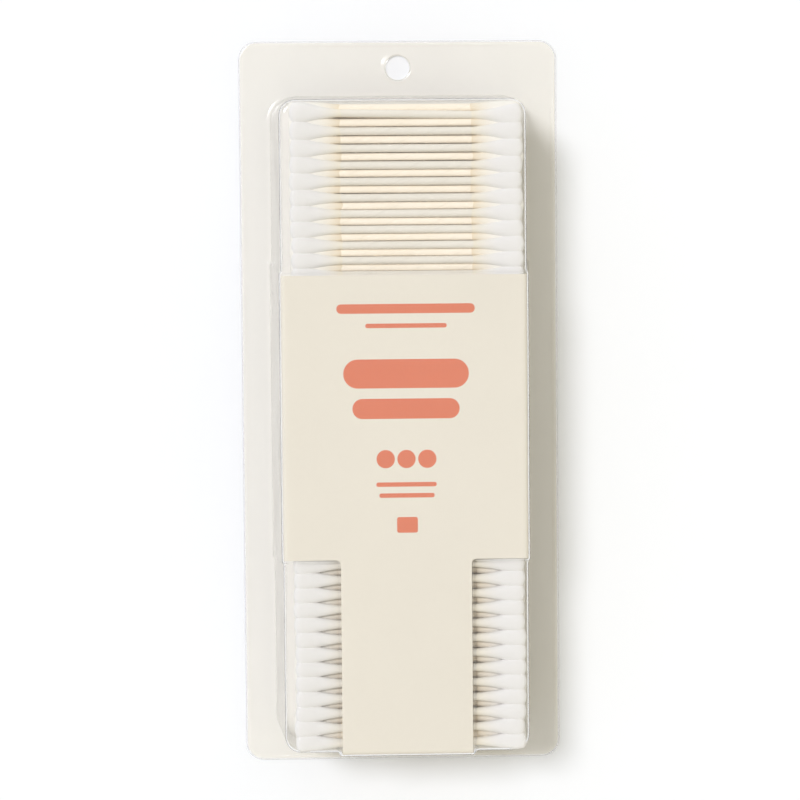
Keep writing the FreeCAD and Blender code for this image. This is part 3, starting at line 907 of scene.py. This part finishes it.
    def build(self) -> bpy.types.Object:
        """Make the film as one skin and give it its thickness."""
        edge = self.patch_half
        xs = self.stops(-self.core_width, self.core_width, (-self.stem_half, self.stem_half), self.even_across)
        over_patch = np.linspace(-edge, edge, self.patch_columns).tolist()
        xs = np.array(sorted([x for x in xs if abs(x) > edge + self.patch_clear] + over_patch))
        ys = self.middle + self.core_length * np.array((-1.0, 1.0))
        steps = (self.band_middle - self.band_half, self.band_middle + self.band_half)
        ys = self.stops(ys[0], ys[1], steps, self.even_along)
        grid = self.face_grid(xs, ys)
        walk = self.rim_of_face(xs, ys, grid)
        inner = [place["inner"] for place in walk]
        for plain, raised in zip(self.wall_path(False), self.wall_path(True)):
            outer = self.ring(walk, lambda place: self.wall_spot(place, plain, raised))
            self.join(inner, outer)
            inner = outer
        rings = [inner]
        rim = self.rim_path()
        for step in range(1, self.flange_steps + 1):
            share = step / self.flange_steps
            rings.append(self.ring(walk, lambda place: self.between(place, walk, inner, rim[0], share)))
        opened = [self.in_patch(place) and self.in_patch(after) for place, after in zip(walk, walk[1:] + walk[:1])]
        for near, far in zip(rings, rings[1:]):
            self.join(near, far, lambda here: opened[here])
        self.hang_hole(rings, walk)
        inner = rings[-1]
        for inset, height in rim[1:]:
            outer = self.ring(walk, lambda place: self.flange_spot(place, inset, height))
            self.join(inner, outer)
            inner = outer
        film = piece("film_blister", np.array(self.points), self.faces, FilmFinish().material())
        face_out(film)
        thicken(film, self.thickness)
        return settle(film, "clear_blister")

    def between(self, place: dict, walk: list[dict], foot: list[int], edge: tuple, share: float) -> np.ndarray:
        """Place a corner of the flat flange between the wall's foot and the rim.

        Args:
            place: Where it is along the rim of the face.
            walk: All the places.
            foot: Corner numbers at the foot of the wall.
            edge: Inset and height where the rim begins.
            share: How far out it is.

        Returns:
            The corner.
        """
        near = np.array(self.points[foot[walk.index(place)]])
        far = np.array(self.flange_spot(place, *edge))
        return near + (far - near) * share


def face_out(item: bpy.types.Object) -> None:
    """Turn all faces of an open skin so that its flat top looks up."""
    mesh = item.data
    up = sum(face.normal.z * face.area for face in mesh.polygons)
    if up < 0:
        mesh.flip_normals()


@dataclass
class LabelCard:
    """Cream T-shaped label: a wide part folded over both sides and a stem folded over the end."""

    height: float = 49.46
    thickness: float = 0.3
    half_width: float = 38.9
    flap_out: float = 0.2
    flap_end: float = 46.31
    head: float = 43.1
    neck: float = -47.3
    stem_half: float = 20.85
    foot: float = -109.86
    fold_round: float = 1.5
    inner_corner: float = 1.6
    corner_parts: int = 6
    arc_steps: int = 7
    columns: tuple[float, ...] = (15.0, 30.0)
    tone: Colour = (0.81, 0.755, 0.66)
    fields: tuple[Field, ...] = (
        Field(0.42, 32.5, 21.9, 1.5, 1.5), Field(0.5, 27.1, 12.9, 0.7, 0.7),
        Field(0.4, 11.9, 19.9, 4.6, 4.6), Field(0.3, 0.8, 17.0, 3.2, 3.2),
        Field(-6.3, -15.2, 2.9, 2.9, 2.9), Field(0.3, -15.2, 2.9, 2.9, 2.9), Field(6.9, -15.2, 2.9, 2.9, 2.9),
        Field(0.24, -23.3, 9.6, 0.7, 0.7), Field(0.37, -26.8, 8.8, 0.7, 0.7),
        Field(0.44, -36.2, 3.3, 2.5, 0.7))

    def fold(self, reach: float) -> Path:
        """Draw half of the label's section, from its middle over the fold to the flap's edge."""
        return rounded_path([(0.0, self.height, 0.0), (reach, self.height, self.fold_round),
                             (reach + self.flap_out, self.flap_end, 0.0)], self.arc_steps)

    def lines(self) -> tuple[Path, Path]:
        """Draw both sections: places across with their heights, and places along with their drops."""
        side = self.fold(self.half_width)[1:]
        flat = sorted(self.columns + (self.stem_half, self.stem_half + self.inner_corner))
        across = [(-out, height) for out, height in side[::-1]] + [(-x, self.height) for x in flat[::-1]]
        across += [(0.0, self.height)] + [(x, self.height) for x in flat] + side
        end = self.fold(-self.foot + self.neck)[1:]
        along = [(y, 0.0) for y in (self.head, self.head / 2, 0.0, self.neck / 2, self.neck,
                                    self.neck - self.inner_corner)]
        return across, along + [(self.neck - out, self.height - height) for out, height in end]

    def inner_arc(self, way: int) -> list[tuple[float, float, float]]:
        """Round one inner corner of the T, to the left for -1 and to the right for 1."""
        angles = [math.pi / 2 * part / self.corner_parts for part in range(1, self.corner_parts)]
        turned = self.stem_half + self.inner_corner
        return [(way * (turned - self.inner_corner * math.cos(angle)),
                 self.neck - self.inner_corner * (1 - math.sin(angle)), self.height) for angle in angles]

    def build(self) -> bpy.types.Object:
        """Make the label as one skin, bend its edges and give it its thickness."""
        across, along = self.lines()
        spots, faces, rows = [], [], []
        for y, drop in along:
            row = []
            for x, height in across:
                inside = y >= self.neck - 1e-6 or abs(x) <= self.stem_half + 1e-6
                row.append(len(spots) if inside else None)
                if inside:
                    spots.append((x, y, height - drop))
            rows.append(row)
        for upper, lower in zip(rows, rows[1:]):
            for left in range(len(across) - 1):
                loop = [lower[left], lower[left + 1], upper[left + 1], upper[left]]
                if None not in loop:
                    faces.append(loop)
        columns = [x for x, _ in across]
        neck = [y for y, _ in along].index(self.neck)
        for way in (-1, 1):
            stem, beside = (columns.index(way * x) for x in (self.stem_half, self.stem_half + self.inner_corner))
            arc = self.inner_arc(way)
            curve = list(range(len(spots), len(spots) + len(arc)))
            spots += arc
            faces.append([rows[neck][stem], rows[neck + 1][stem]] + curve + [rows[neck][beside]])
            if way < 0:
                faces[-1].reverse()
        finish = PrintedFinish("label_card", self.tone, depth=0.015, rough=0.62, fields=self.fields)
        label = piece("label_card_T", np.array(spots), faces, finish.material())
        face_out(label)
        thicken(label, self.thickness)
        return settle(label, "label_card")


@dataclass
class SwabPile:
    """Five hundred double-ended swabs across the pack, in twelve nested layers."""

    layers: int = 12
    top_count: int = 42
    pitch: float = 4.77
    middle_pitch: float = 4.848
    head_pitch: float = 5.42
    tightening: float = 0.075
    middle_from: int = 9
    foot_from: int = 30
    first_y: float = 93.93
    slide: float = 1.15
    first_yaw: float = -0.018
    slip_spread: tuple[float, float, float] = (0.22, 0.045, 0.02)
    slip_limit: tuple[float, float, float] = (0.5, 0.09, 0.04)
    yaw_spread: float = 0.0012
    yaw_limit: float = 0.0025
    top_height: float = 45.96
    layer_pitch: float = 3.919
    half_length: float = 37.0
    tip_length: float = 16.0
    stick_radius: float = 1.25
    tip_path: tuple = (
        (-1.4, 1.19), (-0.3, 1.26), (1.2, 1.37), (3.3, 1.52), (5.3, 1.67), (7.0, 1.81), (8.6, 1.96), (10.2, 2.13),
        (12.0, 2.29), (13.4, 2.36), (14.3, 2.33), (14.9, 2.2), (15.35, 1.97), (15.7, 1.57), (15.9, 1.05),
        (15.98, 0.5))
    fat_radius: float = 2.36
    squash: float = 2.9
    pressed: float = 1.47
    lift: float = 2.9
    lift_layers: int = 6
    looseness: float = 0.6
    loose_from: float = 0.0
    loose_over: float = 45.0
    veil_length: float = 8.0
    foot_wall: float = -108.85
    head_wall: float = 98.05
    wall_give: float = 0.45
    seed: int = 7
    extra_pitch: float = 4.8
    fuller_layers: tuple[int, ...] = (1, 3)
    neck_radius: float = 1.4
    cotton_waves: float = 0.035
    stick_waves: float = 0.012
    hidden: float = 1.0
    end_run: float = 0.4

    def columns(self) -> list[float]:
        """Places along Y: top-layer swabs and the gaps between them, in turn."""
        place = self.first_y
        found = [place]
        for index in range(self.top_count - 1):
            step = self.step(index)
            found += [place - step / 2, place - step]
            place -= step
        return found

    def step(self, index: int) -> float:
        """Distance from one swab of the front layer to the next, looser at the head."""
        if index < self.middle_from:
            return self.head_pitch - self.tightening * index
        return self.middle_pitch if index < self.foot_from else self.pitch

    def room(self, y: float) -> float:
        """Width that a swab at this place has between its neighbours."""
        places = np.array(self.columns()[::2])
        index = int(np.clip(np.searchsorted(-places, -y), 1, len(places) - 1))
        return float(places[index - 1] - places[index])

    def rows(self, layer: int) -> list[float]:
        """Places of the swabs in one layer; two layers hold one more at the head end."""
        found = self.columns()[layer % 2::2]
        return [found[0] + self.extra_pitch] + found if layer in self.fuller_layers else found

    def height_of(self, layer: int, y: float) -> float:
        """Height of a layer; towards the head, those behind the front one are pressed up between its swabs."""
        lift = self.lift * max(0.0, 1 - (layer - 1) / self.lift_layers) if layer else 0.0
        loose = float(np.clip((self.loose_from - y) / self.loose_over, 0.0, 1.0))
        return self.top_height - layer * self.layer_pitch + lift * (1 - self.looseness * loose)

    def swabs(self, chosen: Iterable[int], jitter: float) -> list[tuple]:
        """Lay the swabs of some layers, each a little off its place.

        Args:
            chosen: The layers, counted from the face.
            jitter: How much of the play is used.

        Returns:
            Middle, turn in the plane, turn round its length and a seed of its own, for each swab.
        """
        laid = []
        for layer in chosen:
            chance = np.random.default_rng(self.seed + layer)
            for y in self.rows(layer):
                slip = chance.normal(0, self.slip_spread) * jitter
                slip = np.clip(slip, -np.array(self.slip_limit), self.slip_limit)
                slip[0] += self.slide
                yaw = float(np.clip(chance.normal(0, self.yaw_spread), -self.yaw_limit, self.yaw_limit)) * jitter
                yaw = self.first_yaw if layer == 0 and y == self.first_y else yaw
                height = self.height_of(layer, y)
                laid.append(((slip[0], y + slip[1], height + slip[2]), yaw, chance.uniform(0, 2 * math.pi),
                             int(chance.integers(1 << 30))))
        return laid

    def held(self, y: np.ndarray) -> np.ndarray:
        """Press the cotton softly flat where it meets the end walls.

        Args:
            y: Places along the pack.

        Returns:
            The places, none past a wall.
        """
        soft = self.wall_give
        past = np.maximum(y - (self.head_wall - soft), 0.0)
        y = np.where(past > 0, self.head_wall - soft * np.exp(-past / soft), y)
        past = np.maximum((self.foot_wall + soft) - y, 0.0)
        return np.where(past > 0, self.foot_wall + soft * np.exp(-past / soft), y)

    def loops(self, rings: int, sides: int, mirror: bool) -> list[list[int]]:
        """Corner numbers of one spun swab's faces: its runs and both end caps."""
        runs = [[ring * sides + side, ring * sides + (side + 1) % sides,
                 (ring + 1) * sides + (side + 1) % sides, (ring + 1) * sides + side]
                for ring in range(rings - 1) for side in range(sides)]
        caps = [list(range(sides))[::-1], list(range((rings - 1) * sides, rings * sides))]
        return runs + caps if mirror else [loop[::-1] for loop in runs + caps]

    def spun(self, path: Sequence[tuple[float, float]], sides: int, waves: float, laid: list[tuple],
             mirror: bool) -> tuple[np.ndarray, list, np.ndarray]:
        """Spin a path round each swab's length, with a soft unevenness of its own.

        Args:
            path: Place along the swab and radius.
            sides: Corners round the swab.
            waves: Share of the radius that varies.
            laid: The swabs.
            mirror: Whether it is at the other end.

        Returns:
            Corners, faces and wrap coordinates.
        """
        path = np.array(path)
        turns = np.linspace(0, 2 * math.pi, sides, endpoint=False)
        rings = len(path)
        along, plain = path[:, 0][:, None], path[:, 1][:, None]
        fat = np.clip((plain - self.neck_radius) / (self.fat_radius - self.neck_radius), 0.0, 1.0)
        loops = self.loops(rings, sides, mirror)
        points, faces, wraps = [], [], []
        for number, (middle, yaw, roll, seed) in enumerate(laid):
            chance = np.random.default_rng(seed + mirror)
            phase = chance.uniform(0, 2 * math.pi, 4)
            swell = np.sin(2 * turns[None] + phase[0] + along * 0.3)
            swell = swell + 0.7 * np.sin(3 * turns[None] + phase[1] - along * 0.4)
            swell = swell + 0.6 * np.sin(along * 0.9 + phase[2]) * np.sin(turns[None] + phase[3])
            radius = plain * (1 - waves * (1.0 - swell / 2.3) / 2)
            x = np.repeat(along, sides, 1) * (-1 if mirror else 1)
            out_y, out_z = np.cos(turns + roll)[None], np.sin(turns + roll)[None]
            full = (np.abs(out_y) ** self.squash + np.abs(out_z) ** self.squash) ** (-1 / self.squash)
            radius = radius * (1 + (full - 1) * fat)
            room = 1 + (self.pressed * self.room(middle[1]) / (2 * self.fat_radius) - 1) * fat
            y = radius * out_y * room
            z = radius * out_z
            spun_y = x * math.sin(yaw) + y * math.cos(yaw)
            spun_x = x * math.cos(yaw) - y * math.sin(yaw)
            held_y = self.held(spun_y + middle[1])
            points.append(np.stack([spun_x + middle[0], held_y, z + middle[2]], -1).reshape(-1, 3))
            offset = number * rings * sides
            faces += [[corner + offset for corner in loop] for loop in loops]
            wrap = np.stack([np.repeat(along, sides, 1) + chance.uniform(0, 50),
                             np.repeat(turns[None] / math.pi, rings, 0) * 5], -1)
            wraps.append(wrap.reshape(-1, 2))
        return np.concatenate(points), faces, np.concatenate(wraps)

    def tips(self, name: str, laid: list[tuple], sides: int, every: int, material: bpy.types.Material,
             node: str) -> None:
        """Make the cotton tips of some swabs as one piece.

        Args:
            name: Name of the piece.
            laid: The swabs.
            sides: Corners round each tip.
            every: Keep every so many rings of the path.
            material: Cotton.
            node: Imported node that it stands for.
        """
        kept = list(self.tip_path[::every])
        if kept[-1] != self.tip_path[-1]:
            kept.append(self.tip_path[-1])
        start = self.half_length - self.tip_length
        path = [(start + out, radius) for out, radius in kept]
        right, left = (self.spun(path, sides, self.cotton_waves, laid, mirror) for mirror in (False, True))
        shift = len(right[0])
        faces = right[1] + [[corner + shift for corner in loop] for loop in left[1]]
        cover = [max(0.0, 1 - out / self.veil_length) ** 1.5 for out, _ in kept]
        thin = np.tile(np.repeat(cover, sides), 2 * len(laid))
        item = piece(name, np.concatenate([right[0], left[0]]), faces, material,
                     np.concatenate([right[2], left[2]]), thin)
        settle(item, node)

    def sticks(self, name: str, laid: list[tuple], sides: int, material: bpy.types.Material, node: str) -> None:
        """Make the paper sticks of some swabs as one piece.

        Args:
            name: Name of the piece.
            laid: The swabs.
            sides: Corners round each stick.
            material: Rolled paper.
            node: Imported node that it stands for.
        """
        reach = self.half_length - self.tip_length + self.hidden
        near = reach - self.end_run
        path = [(x, self.stick_radius) for x in (-reach, -near, -reach / 2, 0.0, reach / 2, near, reach)]
        points, faces, wrap = self.spun(path, sides, self.stick_waves, laid, False)
        wrap[:, 0] /= 2 * reach
        wrap[:, 1] /= 10
        settle(piece(name, points, faces, material, wrap), node)

    def build(self) -> None:
        """Make the front layer in full, the one behind it less finely, and the rest plainly."""
        cotton = CottonFinish().material()
        # Painted light and shade: the second and deeper tips get a warmer copy of the cotton, standing in for warm
        # bounced light in their shade, with a browner neck colour that paints the shade between the front swabs'
        # necks.
        bounce_shade_cotton = CottonFinish("bounce_and_shade_painted_cotton", (0.895, 0.865, 0.815), (0.875, 0.84, 0.78),
                              (0.83, 0.715, 0.55)).material()
        paper = StickFinish().material()
        # Painted light: the second and deeper sticks get a brighter, warmer copy of the paper, which lifts them
        # against their shade below the front sticks and paints warm bounced light into it.
        warm = StickFinish("bounce_painted_paper_stick", (0.98, 0.89, 0.77), (0.94, 0.84, 0.70)).material()
        front = self.swabs([0], 1.0)
        second = self.swabs([1], 1.0)
        deep = self.swabs(range(2, self.layers), 0.6)
        LOG.info("swabs laid: %d", len(front) + len(second) + len(deep))
        self.sticks("front_sticks", front, 20, paper, "top_paper_sticks")
        self.tips("front_tips", front, 24, 1, cotton, "top_cotton_tips")
        self.sticks("second_sticks", second, 18, warm, "lower_paper_sticks")
        self.sticks("pile_sticks", deep, 12, warm, "lower_paper_sticks")
        self.tips("second_tips", second, 18, 1, bounce_shade_cotton, "lower_cotton_tips")
        self.tips("deep_tips", deep, 10, 2, bounce_shade_cotton, "lower_cotton_tips")


# The studio

@dataclass
class Studio:
    """White floor, soft light from the upper left and the camera above the pack."""

    floor_half: float = 3.0
    floor_drop: float = 2e-5
    floor_tone: Colour = (0.8, 0.8, 0.8)
    floor_seen: Colour = (0.853, 0.865, 0.90)
    floor_glow: float = 0.075
    key_strength: float = 1.6
    key_spread: float = 15.0
    key_travel: tuple[float, float, float] = (0.346, -0.269, -0.899)
    key_tint: Colour = (0.98, 0.99, 1.03)
    fill: float = 0.65
    cool_fill: Colour = (0.97, 0.985, 1.02)
    warm_fill: Colour = (1.04, 0.985, 0.77)
    warm_side: tuple[float, float, float] = (0.79, -0.61, 0.0)
    horizon: float = 0.8
    camera_place: tuple[float, float, float] = (-0.02625, 0.04931, 0.85043)
    camera_turn: tuple[float, float, float] = (-3.27, -1.76, -0.6)
    lens: float = 114.0

    def seen_directly(self, wires: Wiring) -> bpy.types.NodeSocket:
        """Mask of the rays that show a background: from the camera, in gloss and through film."""
        rays = wires.add("ShaderNodeLightPath").outputs
        seen = wires.sum("MAXIMUM", rays["Is Camera Ray"], rays["Is Glossy Ray"])
        return wires.sum("MAXIMUM", seen, rays["Is Transmission Ray"])

    def floor(self) -> None:
        """Lay a plain white floor that keeps the pack's shadow."""
        half = self.floor_half
        mesh = bpy.data.meshes.new("floor")
        corners = [(x * half, y * half, -self.floor_drop) for x, y in ((-1, -1), (1, -1), (1, 1), (-1, 1))]
        mesh.from_pydata(corners, [], [(0, 1, 2, 3)])
        material, wires = blank("white_floor")
        plain = wires.add("ShaderNodeBsdfDiffuse", {"Color": rgba(self.floor_tone)})
        lit = wires.add("ShaderNodeBsdfDiffuse", {"Color": rgba(self.floor_seen)})
        glow = wires.add("ShaderNodeEmission", {"Color": (1, 1, 1, 1), "Strength": self.floor_glow})
        shown = wires.add("ShaderNodeAddShader", {0: lit.outputs[0], 1: glow.outputs[0]})
        mixed = wires.add("ShaderNodeMixShader", {0: self.seen_directly(wires), 1: plain.outputs[0],
                                                  2: shown.outputs[0]})
        surface(wires, mixed.outputs[0])
        mesh.materials.append(material)
        ground = bpy.data.objects.new("floor", mesh)
        bpy.context.scene.collection.objects.link(ground)

    def light(self) -> None:
        """Hang the soft key light and set the even fill."""
        lamp = bpy.data.lights.new("key", "SUN")
        lamp.energy = self.key_strength
        lamp.angle = math.radians(self.key_spread)
        lamp.color = self.key_tint
        key = bpy.data.objects.new("key", lamp)
        key.visible_glossy = False
        key.rotation_mode = "QUATERNION"
        key.rotation_quaternion = Vector(self.key_travel).to_track_quat("-Z", "Y")
        bpy.context.scene.collection.objects.link(key)
        world = bpy.data.worlds.new("studio")
        world.use_nodes = True
        world.node_tree.nodes.clear()
        wires = Wiring(world.node_tree)
        way = wires.add("ShaderNodeTexCoord").outputs["Generated"]
        side = wires.add("ShaderNodeVectorMath", {0: way, 1: self.warm_side}, operation="DOT_PRODUCT")
        warmth = wires.ramp(side.outputs["Value"], 0.8, 0.5, True)
        tint = wires.blend(warmth, rgba(self.cool_fill), rgba(self.warm_fill))
        fill = wires.add("ShaderNodeBackground", {"Color": tint, "Strength": self.fill})
        up = wires.add("ShaderNodeSeparateXYZ", {0: way}).outputs[2]
        sky = wires.add("ShaderNodeMapRange", {"Value": up, "From Min": 0.05, "From Max": 0.6,
                                               "To Min": self.horizon, "To Max": 1.0},
                        interpolation_type="SMOOTHSTEP").outputs[0]
        rays = wires.add("ShaderNodeLightPath").outputs
        strength = wires.sum("MAXIMUM", sky, rays["Is Camera Ray"])
        shown = wires.add("ShaderNodeBackground", {"Color": (1, 1, 1, 1), "Strength": strength})
        mixed = wires.add("ShaderNodeMixShader", {0: self.seen_directly(wires), 1: fill.outputs[0],
                                                  2: shown.outputs[0]})
        wires.add("ShaderNodeOutputWorld", {"Surface": mixed.outputs[0]})
        bpy.context.scene.world = world

    def camera(self) -> None:
        """Set the camera where the photograph was taken from."""
        lens = bpy.data.cameras.new("camera")
        lens.lens = self.lens
        lens.sensor_width = 36.0
        lens.clip_end = 20.0
        eye = bpy.data.objects.new("camera", lens)
        turn = Matrix.Identity(3)
        for angle, axis in zip(self.camera_turn, "XYZ"):
            turn = turn @ Matrix.Rotation(math.radians(angle), 3, axis)
        eye.matrix_world = Matrix.Translation(Vector(self.camera_place)) @ turn.to_4x4()
        bpy.context.scene.collection.objects.link(eye)
        bpy.context.scene.camera = eye

    def build(self) -> None:
        """Set up floor, light and camera."""
        self.floor()
        self.light()
        self.camera()
        bpy.context.scene.view_settings.view_transform = "Standard"
        LOG.info("studio: ready")


def main() -> None:
    """Build the pack, its contents and the studio, in order."""
    logging.basicConfig(level=logging.INFO, format="%(message)s")
    Studio().build()
    BackingCard().build()
    SwabPile().build()
    LabelCard().build()
    FilmShell().build()


if __name__ == "__main__":
    main()
